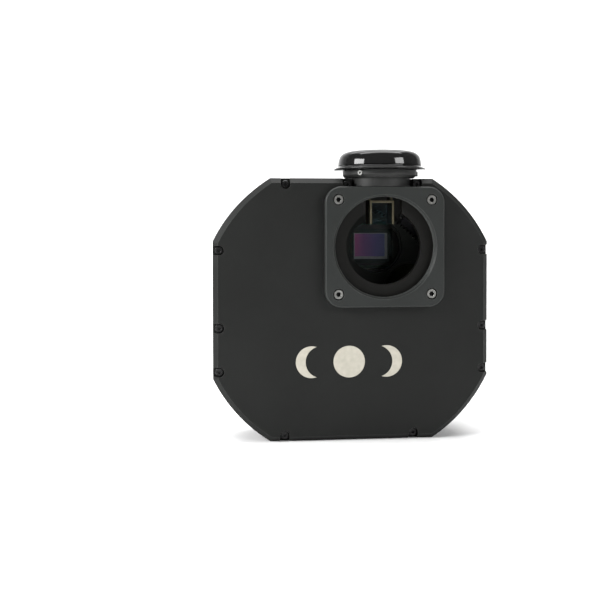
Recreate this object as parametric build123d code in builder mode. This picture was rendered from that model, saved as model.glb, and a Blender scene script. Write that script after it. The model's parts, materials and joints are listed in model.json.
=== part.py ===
from build123d import *
import math
import os

os.makedirs("parts", exist_ok=True)

# Cooled astronomy camera with an eight-position filter wheel and a guide port.
# Millimetres. +X right and +Z up as seen from the front, +Y into the camera.
# The origin is on the optical axis, in the front face of the nose plate.

# Driving dimensions
case_w, case_h = 151.0, 142.4          # outline of the front cover and the wheel housing
case_arc_r = 84.0                      # circle that rounds off the four corners
case_x, case_z = -17.0, -34.0          # centre of that outline
case_top = case_z + case_h / 2
case_bottom = case_z - case_h / 2
case_wall = 4.0

rear_half, rear_arc_r = 55.0, 63.0     # outline of the rear body
rear_x, rear_z = 0.3, -18.8
rear_top = rear_z + rear_half
rear_bottom = rear_z - rear_half
rear_wall = 3.0
rear_inset = 1.0                       # how far the rear body stays inside the case

plate_t = 5.0                          # depths, front to back
cover_front, cover_wall, cover_back = 5.0, 3.5, 12.0
housing_front, housing_floor, housing_back = 12.5, 37.0, 40.0
sensor_depth = 47.0
sink_front, sink_back = 55.0, 59.0
body_back, camera_back = 69.5, 72.5

plate_side, plate_corner_r = 65.0, 8.8
nose_thread_r = 27.4                   # 2.156 inch thread
aperture_r = 20.5
plate_screw_pitch = 50.8

guide_depth = 17.0                     # axis of the guide port
guide_bore_r = 12.7                    # one inch thread
neck_r, neck_z = 16.7, 32.6
collar_r, collar_z, collar_top = 20.5, 37.8, 42.0
foot_half_w, foot_h, foot_light_r = 14.6, 4.0, 8.0
foot_top = case_top - case_wall
foot_bottom = foot_top - foot_h
foot_front, foot_back = 5.2, 36.8

wheel_x, wheel_z = -20.0, -37.0
wheel_pitch_r = math.hypot(wheel_x, wheel_z)
wheel_first_deg = math.degrees(math.atan2(-wheel_z, -wheel_x))
wheel_front, wheel_back = 29.0, 33.0
filter_count = 8
filter_r, filter_t, filter_clear_r = 15.5, 3.0, 14.7
gear_module, wheel_teeth, pinion_teeth = 0.75, 160, 20
gear_backlash = 0.12
pinion_deg = 24.0
gear_distance = gear_module * (wheel_teeth + pinion_teeth) / 2
pinion_x = wheel_x + gear_distance * math.cos(math.radians(pinion_deg))
pinion_z = wheel_z + gear_distance * math.sin(math.radians(pinion_deg))

shutter_x, shutter_z = 22.0, -30.0
shutter_arm = math.hypot(shutter_x, shutter_z)
shutter_swing = 48.0
shutter_closed_deg = math.degrees(math.atan2(-shutter_z, -shutter_x))
shutter_open_deg = shutter_closed_deg - shutter_swing
blade_front, blade_back = 35.0, 35.6

chamber_r, chamber_inner_r, chamber_wall = 30.0, 25.0, 4.0
running_gap = 0.05                     # radial clearance of every shaft in its bore
clear_hole_r, tap_hole_r = 1.5, 1.25   # clearance and tapped holes of the case's screws
neck_slot_w, neck_slot_z, neck_slot_h = 34.6, 38.8, 20.0

fan_side, fan_front, fan_back = 40.0, 59.5, 69.5
fan_spots = [(rear_x - 21.5, -36.0), (rear_x + 21.5, -36.0)]
fan_hole_pitch = 32.0
boss_spots = [(rear_x + side * x, z) for side in (-1, 1) for x, z in ((48.0, 4.2), (36.0, -65.0))]
boss_r = 4.4

# Screw seats of the front cover
screw_inset = 3.4                      # from the outer edge to the screw's axis
notch_r, notch_depth = 2.6, 4.5
cover_head_r, cover_head_h, cover_screw_l = 2.2, 2.4, 11.0
top_offsets = (-36.4, -2.7, 35.6)
bottom_offsets = (-37.0, 33.6)
side_offsets = (32.3, -9.5, -33.0)
cover_spots = [(case_x + d, case_top - screw_inset, 0, 1) for d in top_offsets]
cover_spots += [(case_x + d, case_bottom + screw_inset, 0, -1) for d in bottom_offsets]
for side in (-1, 1):
    edge_x = case_x + side * (case_w / 2 - screw_inset)
    cover_spots += [(edge_x, case_z + d, side, 0) for d in side_offsets]
cover_points = [(x, z) for x, z, out_x, out_z in cover_spots]
plate_points = [(sx * plate_screw_pitch / 2, sz * plate_screw_pitch / 2) for sx in (-1, 1) for sz in (-1, 1)]


# Helpers
def at_depth(depth):
    # Upright sketch plane: local x is +X, local y is +Z, and the normal faces the front.
    # Extruding by a negative amount goes deeper into the camera.
    return Plane(origin=(0, depth, 0), x_dir=(1, 0, 0), z_dir=(0, -1, 0))


def case_profile(inset=0.0):
    with Locations((case_x, case_z)):
        Rectangle(case_w - 2 * inset, case_h - 2 * inset)
        Circle(case_arc_r - inset, mode=Mode.INTERSECT)


def rear_profile(inset=0.0):
    with Locations((rear_x, rear_z)):
        Rectangle(2 * (rear_half - inset), 2 * (rear_half - inset))
        Circle(rear_arc_r - inset, mode=Mode.INTERSECT)
    with Locations((case_x, case_z)):
        Circle(case_arc_r - rear_inset - inset, mode=Mode.INTERSECT)


def polar(centre_x, centre_z, radius, degrees):
    angle = math.radians(degrees)
    return (centre_x + radius * math.cos(angle), centre_z + radius * math.sin(angle))


def disc(spots, radius, front, back, mode=Mode.ADD):
    # Round bars or round holes along Y, from one depth to another.
    with BuildSketch(at_depth(back)) as section:
        with Locations(*spots):
            Circle(radius)
    extrude(section.sketch, amount=back - front, mode=mode)


def block(centre_x, centre_z, width, height, front, back, mode=Mode.ADD):
    with BuildSketch(at_depth(back)) as section:
        with Locations((centre_x, centre_z)):
            Rectangle(width, height)
    extrude(section.sketch, amount=back - front, mode=mode)


def ring(spots, outer_r, inner_r, front, back):
    with BuildSketch(at_depth(back)) as section:
        with Locations(*spots):
            Circle(outer_r)
            Circle(inner_r, mode=Mode.SUBTRACT)
    extrude(section.sketch, amount=back - front)


def screws(spots, seat, head_r, head_h, shank_r, shank_l, facing=1):
    # Socket-head screws along Y. facing 1 turns the heads to the front, -1 to the back.
    with BuildSketch(at_depth(seat)) as heads:
        with Locations(*spots):
            Circle(head_r)
    extrude(heads.sketch, amount=facing * head_h)
    front_or_back = 0 if facing > 0 else -1
    chamfer(edges().group_by(Axis.Y)[front_or_back], 0.15 * head_r)
    with BuildSketch(at_depth(seat)) as shanks:
        with Locations(*spots):
            Circle(shank_r)
    extrude(shanks.sketch, amount=-facing * shank_l)
    with BuildSketch(at_depth(seat - facing * head_h)) as sockets:
        with Locations(*spots):
            RegularPolygon(0.52 * head_r, 6)
    extrude(sockets.sketch, amount=-facing * 0.6 * head_h, mode=Mode.SUBTRACT)


def gear_outline(teeth, centre_x, centre_z, first_tooth_deg):
    # Involute spur gear, 20 degree pressure angle, six or more points for each tooth.
    pitch_r = teeth * gear_module / 2
    base_r = pitch_r * math.cos(math.radians(20))
    tip_r = pitch_r + 0.95 * gear_module
    root_r = pitch_r - 1.25 * gear_module
    flank = [root_r, pitch_r - 0.5 * gear_module, pitch_r, tip_r]

    def involute(radius):
        pressure = math.acos(min(1.0, base_r / radius))
        return math.tan(pressure) - pressure

    half_pitch = math.pi / (2 * teeth) - gear_backlash / (4 * pitch_r)
    points = []
    for tooth in range(teeth):
        middle = math.radians(first_tooth_deg) + 2 * math.pi * tooth / teeth
        for side, radii in ((-1, flank), (1, reversed(flank))):
            for radius in radii:
                angle = middle + side * (half_pitch + involute(pitch_r) - involute(max(radius, base_r)))
                points.append((centre_x + radius * math.cos(angle), centre_z + radius * math.sin(angle)))
    return points


# Front cover and its fixings
cover_chamfer, cover_rim = 2.7, 9.0
plate_boss_r = 4.0
prism_slot_w, prism_slot_top = 20.0, 27.3

with BuildPart() as front_cover:
    with BuildSketch(at_depth(cover_back)):
        case_profile()
    extrude(amount=cover_back - cover_front)
    chamfer(edges().group_by(Axis.Y)[0], cover_chamfer)
    with BuildSketch(at_depth(cover_back)):
        case_profile(cover_rim)
    extrude(amount=cover_back - cover_front - cover_wall, mode=Mode.SUBTRACT)
    # bosses behind the nose plate's screws
    disc(plate_points, plate_boss_r, cover_front + 1, cover_back)
    # U-shaped screw seats, open to the outer edge
    with BuildSketch(at_depth(cover_front)):
        for x, z, out_x, out_z in cover_spots:
            with Locations((x, z)):
                Circle(notch_r)
            with Locations((x + out_x * notch_r * 2, z + out_z * notch_r * 2)):
                Rectangle(notch_r * (4 if out_x else 2), notch_r * (4 if out_z else 2))
    extrude(amount=-notch_depth, mode=Mode.SUBTRACT)
    disc(cover_points, clear_hole_r, cover_front, cover_back, Mode.SUBTRACT)
    disc(plate_points, clear_hole_r, cover_front, cover_back, Mode.SUBTRACT)
    # light opening, with a slot above it for the pick-off prism
    disc([(0, 0)], aperture_r, cover_front, cover_back, Mode.SUBTRACT)
    block(0, prism_slot_top / 2, prism_slot_w, prism_slot_top, cover_front, cover_back, Mode.SUBTRACT)
    # slot for the neck of the guide port
    block(0, neck_slot_z, neck_slot_w, neck_slot_h, cover_front, cover_back, Mode.SUBTRACT)
front_cover.part.label = "front_cover"
export_step(front_cover.part, "parts/front_cover.step")

with BuildPart() as cover_screws:
    screws(cover_points, cover_front + notch_depth, cover_head_r, cover_head_h, tap_hole_r, cover_screw_l)
cover_screws.part.label = "cover_screws"
export_step(cover_screws.part, "parts/cover_screws.step")

gasket_inset = 0.3

with BuildPart() as cover_gasket:
    with BuildSketch(at_depth(housing_front)):
        case_profile(gasket_inset)
    extrude(amount=housing_front - cover_back)
    with BuildSketch(at_depth(housing_front)):
        case_profile(case_wall)
    extrude(amount=housing_front - cover_back, mode=Mode.SUBTRACT)
    disc(cover_points, clear_hole_r, cover_back, housing_front, Mode.SUBTRACT)
    block(0, neck_slot_z, neck_slot_w, neck_slot_h, cover_back, housing_front, Mode.SUBTRACT)
cover_gasket.part.label = "cover_gasket"
export_step(cover_gasket.part, "parts/cover_gasket.step")

plate_chamfer, nose_lead_in = 0.5, 0.9
plate_seat_r, plate_seat_depth = 3.1, 3.2
plate_head_r, plate_head_h, plate_shank_l = 2.75, 2.9, 8.3

with BuildPart() as nose_plate:
    with BuildSketch(at_depth(plate_t)):
        RectangleRounded(plate_side, plate_side, plate_corner_r)
    extrude(amount=plate_t)
    chamfer(edges().group_by(Axis.Y)[0], plate_chamfer)
    with Locations(at_depth(0)):
        with Locations(*plate_points):
            CounterBoreHole(clear_hole_r, plate_seat_r, plate_seat_depth, depth=plate_t)
    disc([(0, 0)], nose_thread_r, 0, plate_t, Mode.SUBTRACT)
    rim = edges().filter_by(GeomType.CIRCLE).filter_by(lambda e: abs(e.radius - nose_thread_r) < 0.01)
    chamfer(rim.group_by(Axis.Y)[0], nose_lead_in)
nose_plate.part.label = "nose_plate"
export_step(nose_plate.part, "parts/nose_plate.step")

with BuildPart() as nose_plate_screws:
    screws(plate_points, plate_seat_depth, plate_head_r, plate_head_h, clear_hole_r, plate_shank_l)
nose_plate_screws.part.label = "nose_plate_screws"
export_step(nose_plate_screws.part, "parts/nose_plate_screws.step")

# Guide port
neck_screw_spots = [(-10.0, 35.2), (10.0, 35.2)]
neck_screw_r, neck_head_r, neck_head_h, neck_screw_l = 1.3, 1.45, 1.8, 3.0
bracket_screw_spots = [(-11.5, guide_depth), (11.5, guide_depth)]
bracket_screw_r = 1.0
lock_screw_r, lock_screw_z = 1.3, 39.9
lock_screw_degs = (-131.0, -11.0, 109.0)
lock_screw_proud, lock_hex_r = 0.6, 0.7
socket_r, socket_z = 16.0, 38.4
collar_lower_chamfer, collar_upper_chamfer = 1.4, 0.4

with BuildPart() as guide_port_neck:
    with BuildSketch(Plane.XY.offset(neck_z)):
        with Locations((0, guide_depth)):
            Circle(neck_r)
    extrude(amount=collar_z - neck_z)
    with BuildSketch(Plane.XY.offset(collar_z)):
        with Locations((0, guide_depth)):
            Circle(collar_r)
    extrude(amount=collar_top - collar_z)
    collar_edges = edges().filter_by(GeomType.CIRCLE).filter_by(lambda e: abs(e.radius - collar_r) < 0.01)
    chamfer(collar_edges.group_by(Axis.Z)[0], collar_lower_chamfer)
    chamfer(collar_edges.group_by(Axis.Z)[-1], collar_upper_chamfer)
    with BuildSketch(Plane.XY.offset(foot_bottom)):
        with Locations((0, (foot_front + foot_back) / 2)):
            Rectangle(2 * foot_half_w, foot_back - foot_front)
    extrude(amount=foot_h)
    with BuildSketch(Plane.XY.offset(foot_bottom)):
        with Locations((0, guide_depth)):
            Circle(foot_light_r)
    extrude(amount=foot_h, mode=Mode.SUBTRACT)
    with BuildSketch(Plane.XY.offset(foot_top)):
        with Locations((0, guide_depth)):
            Circle(guide_bore_r)
    extrude(amount=collar_top - foot_top, mode=Mode.SUBTRACT)
    with BuildSketch(Plane.XY.offset(socket_z)):
        with Locations((0, guide_depth)):
            Circle(socket_r)
    extrude(amount=collar_top - socket_z, mode=Mode.SUBTRACT)
    with BuildSketch(Plane.XY.offset(foot_bottom)):
        with Locations(*neck_screw_spots):
            Circle(clear_hole_r)
        with Locations(*bracket_screw_spots):
            Circle(bracket_screw_r)
    extrude(amount=foot_h, mode=Mode.SUBTRACT)
    for degrees in lock_screw_degs:
        across = Plane(origin=(0, guide_depth, lock_screw_z), x_dir=(0, 0, 1),
                       z_dir=(math.cos(math.radians(degrees)), math.sin(math.radians(degrees)), 0))
        with BuildSketch(across.offset(socket_r - 0.5)):
            Circle(lock_screw_r)
        extrude(amount=collar_r - socket_r + 1, mode=Mode.SUBTRACT)
guide_port_neck.part.label = "guide_port_neck"
export_step(guide_port_neck.part, "parts/guide_port_neck.step")

with BuildPart() as neck_screws:
    with BuildSketch(Plane.XY.offset(foot_bottom)):
        with Locations(*neck_screw_spots):
            Circle(neck_screw_r)
    extrude(amount=foot_h + neck_screw_l)
    with BuildSketch(Plane.XY.offset(foot_bottom)):
        with Locations(*neck_screw_spots):
            Circle(neck_head_r)
    extrude(amount=-neck_head_h)
    with BuildSketch(Plane.XY.offset(foot_bottom - neck_head_h)):
        with Locations(*neck_screw_spots):
            RegularPolygon(0.6 * neck_head_r, 6)
    extrude(amount=0.6 * neck_head_h, mode=Mode.SUBTRACT)
neck_screws.part.label = "neck_screws"
export_step(neck_screws.part, "parts/neck_screws.step")

with BuildPart() as guide_lock_screws:
    for degrees in lock_screw_degs:
        across = Plane(origin=(0, guide_depth, lock_screw_z), x_dir=(0, 0, 1),
                       z_dir=(math.cos(math.radians(degrees)), math.sin(math.radians(degrees)), 0))
        with BuildSketch(across.offset(collar_r + lock_screw_proud)):
            Circle(lock_screw_r)
        extrude(amount=socket_r - collar_r - 0.4)
        with BuildSketch(across.offset(collar_r + lock_screw_proud)):
            RegularPolygon(lock_hex_r, 6)
        extrude(amount=-2 * lock_screw_proud, mode=Mode.SUBTRACT)
guide_lock_screws.part.label = "guide_lock_screws"
export_step(guide_lock_screws.part, "parts/guide_lock_screws.step")

cap_top, cap_inside = 53.0, 51.2
cap_plug_r, cap_plug_z = 15.7, 38.8
cap_rim_r = 25.5

# A turned outline: the hollow plug inside the collar's socket, the rim on top of it and the crown.
with BuildPart() as guide_port_cap:
    with BuildSketch(at_depth(guide_depth)):
        with BuildLine():
            Polyline((0, cap_inside), (18.6, cap_inside), (21.3, 48.6), (21.3, 43.8), (14.4, 43.8),
                     (14.4, cap_plug_z), (cap_plug_r, cap_plug_z), (cap_plug_r, collar_top),
                     (cap_rim_r, collar_top), (cap_rim_r, 43.0), (23.6, 44.2), (23.0, 45.0), (23.0, 48.4),
                     (21.9, cap_inside), (18.6, cap_top), (0, cap_top), close=True)
        make_face()
    revolve(axis=Axis((0, guide_depth, 0), (0, 0, 1)))
guide_port_cap.part.label = "guide_port_cap"
export_step(guide_port_cap.part, "parts/guide_port_cap.step")

# Pick-off prism and its bracket
prism_half_w, prism_side = 5.5, 11.6
prism_front, prism_bottom = 11.2, 12.3
prism_top = prism_bottom + prism_side
cheek_t = 1.1
cheek_x = prism_half_w + 0.1 + cheek_t / 2
bracket_front, bracket_back = 9.8, 23.0
flange_w, flange_t, flange_front = 27.0, 1.4, 14.0
flange_light_w, flange_light_d = 10.6, 9.0
cheek_step = 25.2
bridge_z, bridge_h = 24.6, 1.2
bracket_head_r, bracket_head_h = 1.9, 1.3

with BuildPart() as prism_bracket:
    for side in (-1, 1):
        block(side * cheek_x, (prism_bottom + cheek_step) / 2, cheek_t, cheek_step - prism_bottom,
              bracket_front, bracket_back)
        block(side * cheek_x, (cheek_step + foot_bottom) / 2, cheek_t, foot_bottom - cheek_step,
              flange_front, bracket_back)
    block(0, bridge_z, 2 * cheek_x + cheek_t, bridge_h, bracket_front, bracket_front + flange_t)
    block(0, foot_bottom - flange_t / 2, flange_w, flange_t, flange_front, bracket_back)
    with BuildSketch(Plane.XY.offset(foot_bottom)):
        with Locations((0, guide_depth)):
            Rectangle(flange_light_w, flange_light_d)
        with Locations(*bracket_screw_spots):
            Circle(bracket_screw_r)
    extrude(amount=-flange_t, mode=Mode.SUBTRACT)
prism_bracket.part.label = "prism_bracket"
export_step(prism_bracket.part, "parts/prism_bracket.step")

with BuildPart() as bracket_screws:
    with BuildSketch(Plane.XY.offset(foot_bottom - flange_t)):
        with Locations(*bracket_screw_spots):
            Circle(bracket_head_r)
    extrude(amount=-bracket_head_h)
    with BuildSketch(Plane.XY.offset(foot_bottom - flange_t)):
        with Locations(*bracket_screw_spots):
            Circle(bracket_screw_r)
    extrude(amount=flange_t + 3.0)
    with BuildSketch(Plane.XY.offset(foot_bottom - flange_t - bracket_head_h)):
        with Locations(*bracket_screw_spots):
            RegularPolygon(0.5 * bracket_head_r, 6)
    extrude(amount=0.6 * bracket_head_h, mode=Mode.SUBTRACT)
bracket_screws.part.label = "bracket_screws"
export_step(bracket_screws.part, "parts/bracket_screws.step")

with BuildPart() as pickoff_prism:
    with BuildSketch(Plane.YZ.offset(-prism_half_w)):
        with BuildLine():
            Polyline((prism_front, prism_bottom), (prism_front, prism_top),
                     (prism_front + prism_side, prism_top), close=True)
        make_face()
    extrude(amount=2 * prism_half_w)
pickoff_prism.part.label = "pickoff_prism"
export_step(pickoff_prism.part, "parts/pickoff_prism.step")

# Wheel housing
tripod_x, tripod_y, tripod_r, tripod_l = case_x, 20.5, 3.175, 9.0
tripod_outer_r = 5.0
tripod_foot_w, tripod_foot_h, tripod_foot_back = 18.0, 11.0, 27.5
housing_chamfer, case_boss_r, case_boss_trim = 1.0, 3.6, 0.5
floor_light_r, axle_seat_r = 17.5, 3.0
motor_shaft_r, shutter_shaft_r, chamber_screw_r = 1.25, 1.0, 1.1
chamber_screw_spots = [polar(0, 0, 24.5, 45 + 90 * i) for i in range(4)]
spacer_spots = [(rear_x + side * 26.5, z) for side in (-1, 1) for z in (-57.0, -42.0)]

with BuildPart() as wheel_housing:
    with BuildSketch(at_depth(housing_back)):
        case_profile()
    extrude(amount=housing_back - housing_front)
    chamfer(edges().group_by(Axis.Y)[-1], housing_chamfer)
    with BuildSketch(at_depth(housing_floor)):
        case_profile(case_wall)
    extrude(amount=housing_floor - housing_front, mode=Mode.SUBTRACT)
    # screw bosses, trimmed to the outline
    with BuildSketch(at_depth(housing_floor)):
        with Locations(*cover_points):
            Circle(case_boss_r)
        with Locations((case_x, case_z)):
            Rectangle(case_w - 2 * case_boss_trim, case_h - 2 * case_boss_trim, mode=Mode.INTERSECT)
    extrude(amount=housing_floor - housing_front)
    # foot with the tripod insert
    block(tripod_x, case_bottom + tripod_foot_h / 2, tripod_foot_w, tripod_foot_h,
          housing_front, tripod_foot_back)
    with BuildSketch(Plane.XY.offset(case_bottom)):
        with Locations((tripod_x, tripod_y)):
            Circle(tripod_outer_r)
    extrude(amount=tripod_l, mode=Mode.SUBTRACT)
    # passage for the neck of the guide port
    with BuildSketch(Plane.XY.offset(neck_z)):
        with Locations((0, guide_depth)):
            Circle(neck_r)
    extrude(amount=case_wall + 1, mode=Mode.SUBTRACT)
    with BuildSketch(Plane.XY.offset(foot_top)):
        with Locations(*neck_screw_spots):
            Circle(neck_screw_r)
    extrude(amount=neck_screw_l, mode=Mode.SUBTRACT)
    disc(cover_points, tap_hole_r, housing_front, cover_front + notch_depth + cover_screw_l + 1, Mode.SUBTRACT)
    # openings in the floor: light, two shafts, the wheel axle, fixing screws
    disc([(0, 0)], floor_light_r, housing_floor, housing_back, Mode.SUBTRACT)
    disc([(pinion_x, pinion_z)], motor_shaft_r + running_gap, housing_floor, housing_back, Mode.SUBTRACT)
    disc([(shutter_x, shutter_z)], shutter_shaft_r + running_gap, housing_floor, housing_back, Mode.SUBTRACT)
    disc([(wheel_x, wheel_z)], axle_seat_r, housing_floor, housing_back, Mode.SUBTRACT)
    disc(chamber_screw_spots, chamber_screw_r, housing_floor, housing_back, Mode.SUBTRACT)
    disc(boss_spots, tap_hole_r, housing_floor, housing_back, Mode.SUBTRACT)
wheel_housing.part.label = "wheel_housing"
export_step(wheel_housing.part, "parts/wheel_housing.step")

with BuildPart() as tripod_insert:
    with BuildSketch(Plane.XY.offset(case_bottom)):
        with Locations((tripod_x, tripod_y)):
            Circle(tripod_outer_r)
            Circle(tripod_r, mode=Mode.SUBTRACT)
    extrude(amount=tripod_l)
tripod_insert.part.label = "tripod_insert"
export_step(tripod_insert.part, "parts/tripod_insert.step")

# Filter wheel
wheel_centre = [(wheel_x, wheel_z)]
filter_spots = [polar(wheel_x, wheel_z, wheel_pitch_r, wheel_first_deg + 360 / filter_count * i)
                for i in range(filter_count)]
axle_r, bush_r, axle_flange_r = 4.0, 6.0, 7.0
axle_front, axle_shoulder = 28.0, 34.0
wheel_screw_r, wheel_head_r, wheel_head_h, wheel_screw_l = 1.5, 6.2, 1.6, 5.0
bush_play = 0.2
light_hole_pitch_r, light_hole_r = 17.0, 3.5
retainer_r, retainer_t = 15.9, 0.6

with BuildPart() as wheel_axle:
    disc(wheel_centre, axle_seat_r, housing_floor, housing_back)
    disc(wheel_centre, axle_flange_r, axle_shoulder, housing_floor)
    disc(wheel_centre, axle_r, axle_front, axle_shoulder)
    disc(wheel_centre, wheel_screw_r, axle_front, axle_shoulder, Mode.SUBTRACT)
wheel_axle.part.label = "wheel_axle"
export_step(wheel_axle.part, "parts/wheel_axle.step")

with BuildPart() as wheel_screw:
    screws(wheel_centre, axle_front, wheel_head_r, wheel_head_h, wheel_screw_r, wheel_screw_l)
wheel_screw.part.label = "wheel_screw"
export_step(wheel_screw.part, "parts/wheel_screw.step")

with BuildPart() as wheel_bush:
    ring(wheel_centre, bush_r, axle_r + running_gap, axle_front + bush_play, axle_shoulder - bush_play)
wheel_bush.part.label = "wheel_bush"
export_step(wheel_bush.part, "parts/wheel_bush.step")

with BuildPart() as filter_wheel:
    with BuildSketch(at_depth(wheel_back)):
        with BuildLine():
            Polyline(*gear_outline(wheel_teeth, wheel_x, wheel_z, pinion_deg), close=True)
        make_face()
        with Locations((wheel_x, wheel_z)):
            Circle(bush_r, mode=Mode.SUBTRACT)
            between_deg = wheel_first_deg + 180 / filter_count
            with PolarLocations(light_hole_pitch_r, filter_count, start_angle=between_deg):
                Circle(light_hole_r, mode=Mode.SUBTRACT)
        with Locations(*filter_spots):
            Circle(filter_clear_r, mode=Mode.SUBTRACT)
    extrude(amount=wheel_back - wheel_front)
    disc(filter_spots, filter_r, wheel_front, wheel_front + filter_t, Mode.SUBTRACT)
filter_wheel.part.label = "filter_wheel"
export_step(filter_wheel.part, "parts/filter_wheel.step")

with BuildPart() as filter_retainers:
    ring(filter_spots[1:], retainer_r, filter_clear_r, wheel_front - retainer_t, wheel_front)
filter_retainers.part.label = "filter_retainers"
export_step(filter_retainers.part, "parts/filter_retainers.step")

# Position 0, in the light path, is left open. The others hold unmounted glass.
with BuildPart() as filter_clear:
    disc(filter_spots[1:2], filter_r, wheel_front, wheel_front + filter_t)
filter_clear.part.label = "filter_clear"
export_step(filter_clear.part, "parts/filter_clear.step")

with BuildPart() as filter_red:
    disc(filter_spots[2:3], filter_r, wheel_front, wheel_front + filter_t)
filter_red.part.label = "filter_red"
export_step(filter_red.part, "parts/filter_red.step")

with BuildPart() as filter_green:
    disc(filter_spots[3:4], filter_r, wheel_front, wheel_front + filter_t)
filter_green.part.label = "filter_green"
export_step(filter_green.part, "parts/filter_green.step")

with BuildPart() as filter_blue:
    disc(filter_spots[4:5], filter_r, wheel_front, wheel_front + filter_t)
filter_blue.part.label = "filter_blue"
export_step(filter_blue.part, "parts/filter_blue.step")

with BuildPart() as filters_narrow_band:
    disc(filter_spots[5:], filter_r, wheel_front, wheel_front + filter_t)
filters_narrow_band.part.label = "filters_narrow_band"
export_step(filters_narrow_band.part, "parts/filters_narrow_band.step")

# Wheel drive
pinion_centre = [(pinion_x, pinion_z)]
motor_r, motor_back, motor_chamfer = 7.5, 54.0, 0.6
motor_shaft_end, shaft_end_play = 48.0, 0.2
pinion_overhang, pinion_hub_r, pinion_hub_l = 0.3, 3.2, 2.6

with BuildPart() as wheel_motor:
    disc(pinion_centre, motor_r, housing_back, motor_back)
    chamfer(edges().group_by(Axis.Y)[-1], motor_chamfer)
    disc(pinion_centre, motor_shaft_r + running_gap, housing_back, motor_shaft_end + shaft_end_play,
         Mode.SUBTRACT)
wheel_motor.part.label = "wheel_motor"
export_step(wheel_motor.part, "parts/wheel_motor.step")

with BuildPart() as motor_shaft:
    disc(pinion_centre, motor_shaft_r, wheel_front - 0.5, motor_shaft_end)
motor_shaft.part.label = "motor_shaft"
export_step(motor_shaft.part, "parts/motor_shaft.step")

with BuildPart() as drive_pinion:
    with BuildSketch(at_depth(wheel_back + pinion_overhang)):
        with BuildLine():
            Polyline(*gear_outline(pinion_teeth, pinion_x, pinion_z, pinion_deg + 180 + 180 / pinion_teeth),
                     close=True)
        make_face()
        with Locations((pinion_x, pinion_z)):
            Circle(motor_shaft_r, mode=Mode.SUBTRACT)
    extrude(amount=wheel_back - wheel_front + 2 * pinion_overhang)
    ring(pinion_centre, pinion_hub_r, motor_shaft_r, wheel_back + pinion_overhang, wheel_back + pinion_hub_l)
drive_pinion.part.label = "drive_pinion"
export_step(drive_pinion.part, "parts/drive_pinion.step")

index_x, index_z = -48.0, -66.0
index_board_front, index_chip_front = housing_floor - 1.2, housing_floor - 2.2

with BuildPart() as index_board:
    block(index_x, index_z, 12.0, 9.0, index_board_front, housing_floor)
    block(index_x, index_z, 4.0, 3.0, index_chip_front, index_board_front)
index_board.part.label = "index_board"
export_step(index_board.part, "parts/index_board.step")

# Shutter
shutter_centre = [(shutter_x, shutter_z)]
shutter_hub_r, shutter_flange_r, shutter_hub_front, shutter_flange_back = 1.8, 3.4, 34.4, 36.6
shutter_motor_r, shutter_motor_back, shutter_shaft_end = 6.0, 51.0, 47.0
blade_x, blade_z = polar(shutter_x, shutter_z, shutter_arm, shutter_open_deg)
blade_r, blade_arm_w, blade_eye_r = 15.0, 9.0, 4.5

with BuildPart() as shutter_blade:
    with BuildSketch(at_depth(blade_back)):
        with Locations((blade_x, blade_z)):
            Circle(blade_r)
        with Locations(Location(((shutter_x + blade_x) / 2, (shutter_z + blade_z) / 2, 0), shutter_open_deg)):
            Rectangle(shutter_arm, blade_arm_w)
        with Locations((shutter_x, shutter_z)):
            Circle(blade_eye_r)
            Circle(shutter_hub_r, mode=Mode.SUBTRACT)
    extrude(amount=blade_back - blade_front)
shutter_blade.part.label = "shutter_blade"
export_step(shutter_blade.part, "parts/shutter_blade.step")

with BuildPart() as shutter_hub:
    disc(shutter_centre, shutter_hub_r, shutter_hub_front, blade_back)
    disc(shutter_centre, shutter_flange_r, blade_back, shutter_flange_back)
    disc(shutter_centre, shutter_shaft_r, shutter_flange_back, shutter_shaft_end)
shutter_hub.part.label = "shutter_hub"
export_step(shutter_hub.part, "parts/shutter_hub.step")

with BuildPart() as shutter_motor:
    disc(shutter_centre, shutter_motor_r, housing_back, shutter_motor_back)
    chamfer(edges().group_by(Axis.Y)[-1], motor_chamfer)
    disc(shutter_centre, shutter_shaft_r + running_gap, housing_back, shutter_shaft_end + shaft_end_play,
         Mode.SUBTRACT)
shutter_motor.part.label = "shutter_motor"
export_step(shutter_motor.part, "parts/shutter_motor.step")

# Sensor chamber
axis_spot = [(0, 0)]
window_pocket_r, window_lip_r, window_pocket_depth = 19.0, 16.5, 3.0
window_r, window_front, window_back, seal_inner_r = 18.9, 41.0, 42.5, 17.0
ring_seal_r, ring_seal_inner_r, ring_seal_t = 26.9, 25.9, 0.6
chamber_head_r, chamber_head_h, chamber_screw_l = 1.9, 1.2, 6.0
sink_screw_r, sink_screw_l = 0.9, 5.0
heat_sink_screw_spots = [polar(0, 0, 28.3, 45 + 90 * i) for i in range(4)]
plug_depth, plug_stem_r, plug_head_r = 47.5, 5.0, 6.8
plug_bottom, plug_head_h, plug_chamfer = 26.0, 1.6, 0.4
plug_slot_l, plug_slot_w, plug_slot_depth = 9.0, 1.6, 1.0

with BuildPart() as sensor_chamber:
    disc(axis_spot, chamber_r, housing_back, sink_front)
    disc(axis_spot, chamber_inner_r, housing_back + chamber_wall, sink_front, Mode.SUBTRACT)
    disc(axis_spot, window_pocket_r, housing_back, housing_back + window_pocket_depth, Mode.SUBTRACT)
    disc(axis_spot, window_lip_r, housing_back, sink_front, Mode.SUBTRACT)
    disc(chamber_screw_spots, chamber_screw_r, housing_back, housing_floor + chamber_screw_l + 0.2,
         Mode.SUBTRACT)
    disc(heat_sink_screw_spots, sink_screw_r, sink_front - sink_screw_l, sink_front, Mode.SUBTRACT)
    with BuildSketch(at_depth(sink_front)):
        Circle(ring_seal_r)
        Circle(ring_seal_inner_r, mode=Mode.SUBTRACT)
    extrude(amount=ring_seal_t, mode=Mode.SUBTRACT)
    with BuildSketch(Plane.XY.offset(20.0)):
        with Locations((0, plug_depth)):
            Circle(plug_stem_r)
    extrude(amount=15.0, mode=Mode.SUBTRACT)
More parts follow.
